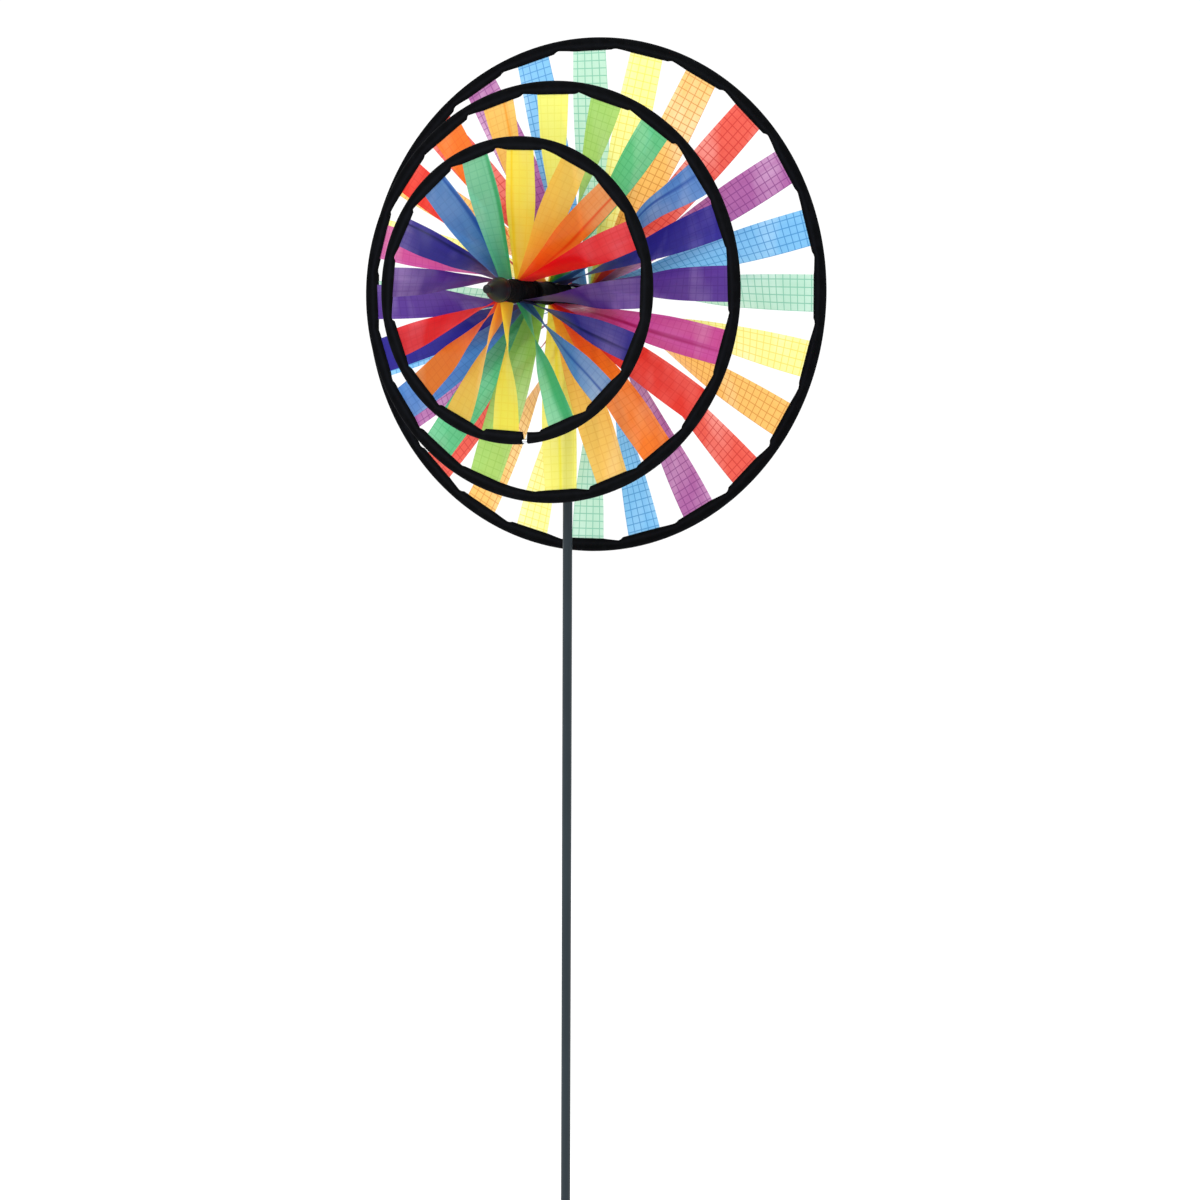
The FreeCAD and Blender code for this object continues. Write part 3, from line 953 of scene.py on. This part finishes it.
        length = sweep * (self.radius - self.half_depth)
        girth = 2.0 * self.sleeve_width + 2.0 * self.half_depth
        piece = cloth_grid(f"{self.name}_sleeve_cloth", stations + (0 if closed else 1), 2 * half, place,
                           (2.0 * girth, length), seam, wrap_rows=closed, wrap_columns=True,
                           ends=0 if closed else half)
        dress(piece, self.black.material())
        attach(piece, self.body)
        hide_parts(f"{self.name}_rim_sleeve")
        log.info("sleeve %s", piece.name)

    def build_hub(self) -> None:
        """Make the hub's two cloth bands, each bound with thread at both ends."""
        cloth = self.black.material()
        half = self.hub_length / 2
        wall = self.band_radius
        bore = half_width(f"{self.name}_hub_tube")
        shoulder = self.shoulder
        profile = [(0.0, bore), (0.0, wall - shoulder), (shoulder, wall)]
        stations = 14
        for station in range(1, stations):
            share = station / stations
            drop = self.waist * math.sin(math.pi * share)
            profile.append((shoulder + (half - 2 * shoulder) * share, wall - drop))
        profile += [(half - shoulder, wall), (half, wall - shoulder), (half, bore), (0.0, bore)]
        near, far = 1.3 * MM, 2.0 * MM
        for part, start in (("front", -half), ("rear", 0.0)):
            front = self.centre + Vector((0.0, start, 0.0))
            band = turned(f"{self.name}_band_{part}", profile, front)
            lump(band, self.lump_depth, self.lump_size)
            rings = [ring(f"{self.name}_thread_{part}_{index}", front + Vector((0.0, at, 0.0)),
                          wall - 0.15 * MM, self.thread_radius)
                     for index, at in enumerate((near, far, half - far, half - near))]
            band = join_pieces([band, *rings])
            self.map_band(band)
            dress(band, cloth)
            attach(band, self.body)
            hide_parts(f"{self.name}_hub_band_{part}")
            log.info("hub band %s", band.name)

    def map_band(self, band: bpy.types.Object) -> None:
        """Give a band its cloth map, round and along the axle, in metres.

        Args:
            band: the band.
        """
        mesh = band.data
        while mesh.uv_layers:
            mesh.uv_layers.remove(mesh.uv_layers[0])
        layer = mesh.uv_layers.new(name="cloth")
        for loop in mesh.loops:
            at = mesh.vertices[loop.vertex_index].co - self.centre
            layer.data[loop.index].uv = (math.atan2(at.z, at.x) * self.band_radius, at.y)

    def build(self) -> None:
        """Build the whole wheel."""
        self.build_ribbons()
        self.build_sleeve()
        self.build_hub()


# ---- head and pole
@dataclass
class EndCap:
    """A moulded cap pressed on one end of the axle."""

    node: str
    name: str
    skirt_radius: float
    tip_radius: float
    faces_front: bool
    finish: Solid
    lip: float = 0.5 * MM
    body_stations: int = 18
    tip_stations: int = 6

    def outline(self, length: float, bore: float) -> list[tuple[float, float]]:
        """Draw the cap: a rolled lip, a bell-shaped body and a rounded tip.

        Args:
            length: from the lip to the end of the tip.
            bore: the hole's radius at the lip.

        Returns:
            (distance from the lip, radius) pairs.
        """
        lip, skirt, tip = self.lip, self.skirt_radius, self.tip_radius
        outline = [(0.0, bore), (0.0, skirt - lip), (0.15 * lip, skirt), (2.2 * lip, skirt),
                   (3.0 * lip, skirt - 0.6 * lip)]
        start, tip_length = 3.4 * lip, tip * 0.45
        for station in range(self.body_stations + 1):
            share = station / self.body_stations
            ease = math.cos(math.pi * share * 0.92) * 0.5 + 0.5
            outline.append((start + (length - start - tip_length) * share,
                            tip + (skirt - 0.7 * lip - tip) * ease))
        rim = outline[-2][1]
        for station in range(1, self.tip_stations + 1):
            turn = math.pi / 2 * station / self.tip_stations
            outline.append((length - tip_length * (1 - math.sin(turn)), max(rim * math.cos(turn), 0.0)))
        return outline

    def build(self) -> None:
        """Turn the cap and press it on the axle."""
        low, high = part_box(self.node)
        length = high.y - low.y
        centre = (low + high) / 2
        base = Vector((centre.x, high.y if self.faces_front else low.y, centre.z))
        way = -1.0 if self.faces_front else 1.0
        profile = [(way * back, radius) for back, radius in self.outline(length, half_width("axle"))]
        piece = turned(self.name, profile, base)
        dress(piece, self.finish.material())
        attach(piece, "head")
        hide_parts(self.node)
        log.info("cap %s", self.name)


@dataclass
class Bead:
    """The grooved bead between the small and medium hubs."""

    finish: Solid
    groove: float = 0.9 * MM

    def build(self) -> None:
        """Turn the bead with two grooves."""
        low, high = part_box("spacer_bead")
        length = high.y - low.y
        radius = half_width("spacer_bead")
        bore = half_width("axle")
        front = Vector(((low.x + high.x) / 2, low.y, (low.z + high.z) / 2))
        profile = [(0.0, bore)]
        stations = 28
        for station in range(stations + 1):
            share = station / stations
            round_end = math.sin(math.pi * share) ** 0.35
            groove = self.groove * max(0.0, math.cos(math.tau * 2 * share)) * (0.1 < share < 0.9)
            profile.append((length * share, bore + (radius - bore) * (0.55 + 0.45 * round_end) - groove))
        profile += [(length, bore), (0.0, bore)]
        piece = turned("spacer_bead_turned", profile, front)
        dress(piece, self.finish.material())
        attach(piece, "head")
        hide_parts("spacer_bead")
        log.info("bead %s", piece.name)


@dataclass
class FrameDressing:
    """Finishes for the frame's own nodes that keep their shape."""

    finishes: dict[str, Solid]
    slots: dict[str, str]

    def dress(self) -> None:
        """Give each kept node its finish."""
        made = {key: finish.material() for key, finish in self.finishes.items()}
        for node, key in self.slots.items():
            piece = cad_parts[node]
            piece.data.materials.clear()
            piece.data.materials.append(made[key])
            log.info("dressed %s", node)


# ---- studio
@dataclass
class Studio:
    """Pale floor, soft light all round and the camera."""

    floor_size: float = 60.0
    brightness: float = 1.07
    lens: float = 87.96
    eye: Vector = field(default_factory=lambda: Vector((0.898, -1.776, -0.063)))
    aim: Vector = field(default_factory=lambda: Vector((0.0223, 0.0050, -0.2064)))
    roll: float = 0.22

    def build(self) -> None:
        """Set up the floor, the lights and the camera."""
        low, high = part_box("axle")
        self.axle = Vector((0.0, 0.0, (low.z + high.z) / 2))
        bpy.context.scene.view_settings.view_transform = "Standard"
        self.lay_floor()
        self.light()
        self.place_camera()

    def lay_floor(self) -> None:
        """Lay a wide pale floor under the pole."""
        clear_selection()
        bpy.ops.mesh.primitive_plane_add(size=self.floor_size, location=(0.0, 0.0, CAD_BOX[0][2] - 0.5 * MM))
        floor = bpy.context.object
        floor.name = "floor"
        paint = Solid("floor_paint", srgb(254, 254, 254), srgb(250, 250, 250), 0.9, patch=0.6,
                      grain=(3.0, 3.0, 3.0))
        floor.data.materials.append(paint.material())

    def light(self) -> None:
        """Fill the studio with soft white light and add a broad lamp in front and one behind."""
        world = bpy.data.worlds.new("studio")
        bpy.context.scene.world = world
        world.use_nodes = True
        background = world.node_tree.nodes["Background"]
        background.inputs["Color"].default_value = (1.0, 1.0, 1.0, 1.0)
        background.inputs["Strength"].default_value = self.brightness
        self.hang_lamp("front_lamp", Vector((-0.9, -1.9, 1.3)), 1.4, 20.0)
        self.hang_lamp("back_lamp", Vector((-0.7, 1.7, 1.5)), 1.2, 26.0)

    def hang_lamp(self, name: str, place: Vector, size: float, energy: float) -> None:
        """Hang a broad round lamp that points at the axle.

        Args:
            name: the lamp's name.
            place: where it hangs, counted from the axle.
            size: its width across in metres.
            energy: its power in watts.
        """
        data = bpy.data.lights.new(name, "AREA")
        data.shape = "DISK"
        data.size = size
        data.energy = energy
        lamp = bpy.data.objects.new(name, data)
        lamp.location = self.axle + place
        lamp.rotation_euler = (-place).to_track_quat("-Z", "Y").to_euler()
        bpy.context.scene.collection.objects.link(lamp)

    def place_camera(self) -> None:
        """Put the camera in front and to the right, a little below the axle."""
        data = bpy.data.cameras.new("camera")
        data.lens = self.lens
        data.sensor_width = 36.0
        camera = bpy.data.objects.new("camera", data)
        camera.location = self.axle + self.eye
        look = (self.axle + self.aim - camera.location).to_track_quat("-Z", "Y")
        turned_look = look @ Quaternion((0.0, 0.0, 1.0), math.radians(self.roll))
        camera.rotation_euler = turned_look.to_euler()
        bpy.context.scene.collection.objects.link(camera)
        bpy.context.scene.camera = camera


# ---- colours and assembly
def cloths(wheel: str, tone: Tone, shades: dict[str, tuple[Colour, Colour]]) -> dict[str, Ripstop]:
    """Return a wheel's cloths by colour name.

    Args:
        wheel: the wheel's name.
        tone: how strongly the grid shows.
        shades: cloth and grid colour of each.

    Returns:
        A finish for each colour.
    """
    return {colour: Ripstop(f"{wheel}_{colour}_ripstop", cloth, grid, tone)
            for colour, (cloth, grid) in shades.items()}


SMALL_SHADES = {
    "green": (srgb(122, 214, 174), srgb(20, 156, 96)),
    "yellow": (srgb(255, 240, 96), srgb(244, 206, 30)),
    "amber": (srgb(254, 205, 92), srgb(232, 158, 50)),
    "orange": (srgb(250, 134, 44), srgb(222, 92, 24)),
    "red": (srgb(244, 16, 24), srgb(206, 22, 30)),
    "violet": (srgb(84, 46, 142), srgb(62, 22, 108)),
    "indigo": (srgb(48, 42, 150), srgb(44, 36, 124)),
    "blue": (srgb(84, 146, 214), srgb(44, 92, 172)),
}
MEDIUM_SHADES = {
    "red": (srgb(236, 64, 52), srgb(208, 34, 36)),
    "orange": (srgb(252, 134, 42), srgb(220, 92, 26)),
    "amber": (srgb(255, 208, 104), srgb(228, 152, 56)),
    "yellow": (srgb(252, 247, 128), srgb(235, 226, 44)),
    "lime": (srgb(172, 216, 118), srgb(120, 180, 62)),
    "green": (srgb(100, 202, 146), srgb(14, 154, 92)),
    "blue": (srgb(82, 140, 210), srgb(38, 84, 164)),
    "indigo": (srgb(48, 40, 150), srgb(42, 30, 122)),
    "violet": (srgb(96, 58, 156), srgb(70, 28, 116)),
    "magenta": (srgb(206, 84, 164), srgb(180, 42, 128)),
}
LARGE_SHADES = {
    "green": (srgb(184, 221, 200), srgb(98, 176, 146)),
    "yellow": (srgb(248, 242, 158), srgb(228, 208, 76)),
    "orange": (srgb(242, 192, 108), srgb(196, 126, 56)),
    "red": (srgb(226, 96, 82), srgb(192, 52, 50)),
    "purple": (srgb(170, 101, 160), srgb(124, 58, 124)),
    "blue": (srgb(126, 188, 230), srgb(48, 122, 184)),
}
BLACK = BlackCloth("black_polyester")
MOULDED = Solid("moulded_black", srgb(6, 7, 9), srgb(24, 27, 31), 0.36, depth=0.03 * MM, shine=0.22)
FIBREGLASS = Solid("slate_fibreglass", srgb(20, 33, 40), srgb(40, 57, 66), 0.4,
                   grain=(900.0, 900.0, 14.0), depth=0.05 * MM, patch=8.0, shine=0.3)
DARK_ROD = Solid("dark_rod", srgb(16, 18, 20), srgb(38, 40, 42), 0.4, grain=(700.0, 12.0, 700.0), shine=0.3)
PALE_ROD = Solid("pale_rod", srgb(196, 200, 202), srgb(222, 224, 224), 0.35, coat=0.3)
STEEL = Solid("turned_steel", srgb(168, 170, 172), srgb(206, 208, 210), 0.3, metallic=1.0)
ALUMINIUM = Solid("drawn_aluminium", srgb(198, 202, 206), srgb(224, 226, 228), 0.28, metallic=1.0)
NYLON = Solid("natural_nylon", srgb(222, 220, 208), srgb(236, 235, 226), 0.5)

KEPT_NODES = {
    "pole": "fibreglass", "pole_pivot_pin": "steel", "tee_connector": "moulded", "axle": "rod",
    "thrust_washers": "nylon",
    "small_hub_tube": "moulded", "medium_hub_tube": "moulded", "large_hub_tube": "moulded",
    "small_hoop": "pale", "medium_hoop": "pale", "large_hoop": "pale",
    "small_hoop_ferrule": "aluminium", "medium_hoop_ferrule": "aluminium",
    "large_hoop_ferrule": "aluminium",
}


def main() -> None:
    """Build every sub-assembly in order."""
    small = RibbonWheel(
        "small", Twist.LEADING_EDGE_FORWARD, 109.5, tuple(SMALL_SHADES), 2, 19.5 * MM,
        cloths("small", Tone.FAINT, SMALL_SHADES), BLACK, gap_angle=-85.0,
        drift={0: -0.8, 1: 0.5, 2: -2.5, 4: 2.5, 5: 1.5, 6: 1.8, 7: 2.5, 8: 2.5, 9: -0.7,
               10: -1.5, 12: 1.5, 13: -1.2, 15: -1.5},
        folds={0: (0.08, 0.16), 7: (0.5, 0.12), 8: (0.78, 0.75), 15: (0.1, 0.16),
               6: (0.35, 0.1), 14: (0.2, 0.1), 1: (0.8, 0.1), 3: (0.3, 0.1)})
    medium = RibbonWheel(
        "medium", Twist.LEADING_EDGE_BACK, 146.0, tuple(MEDIUM_SHADES), 2, 23.5 * MM,
        cloths("medium", Tone.SOFT, MEDIUM_SHADES), BLACK,
        folds={2: (0.3, 0.12), 6: (0.6, 0.12), 9: (0.4, 0.1), 13: (0.5, 0.1)},
        drift={0: -3.0, 1: -3.0, 2: -3.5, 3: -3.5, 4: -3.0, 5: -2.5, 6: -4.5, 12: 1.5,
               13: 2.5, 14: -5.0, 15: -5.0, 16: -4.0, 17: -2.0},
        early_twist={6: 1.1}, tucked={6: 0.3}, sway={6: 4.5 * MM})
    large = RibbonWheel(
        "large", Twist.LEADING_EDGE_FORWARD, 90.0, tuple(LARGE_SHADES), 4, 24.5 * MM,
        cloths("large", Tone.CLEAR, LARGE_SHADES), BLACK)
    for wheel in (small, medium, large):
        wheel.build()
    EndCap("nose_cap", "nose_cap_bell", 8.2 * MM, 2.8 * MM, True, MOULDED).build()
    EndCap("rear_cap", "rear_cap_bell", 6.2 * MM, 3.4 * MM, False, MOULDED).build()
    Bead(MOULDED).build()
    FrameDressing({"fibreglass": FIBREGLASS, "steel": STEEL, "moulded": MOULDED, "rod": DARK_ROD,
                   "nylon": NYLON, "pale": PALE_ROD, "aluminium": ALUMINIUM}, KEPT_NODES).dress()
    Studio().build()


if __name__ == "__main__":
    main()
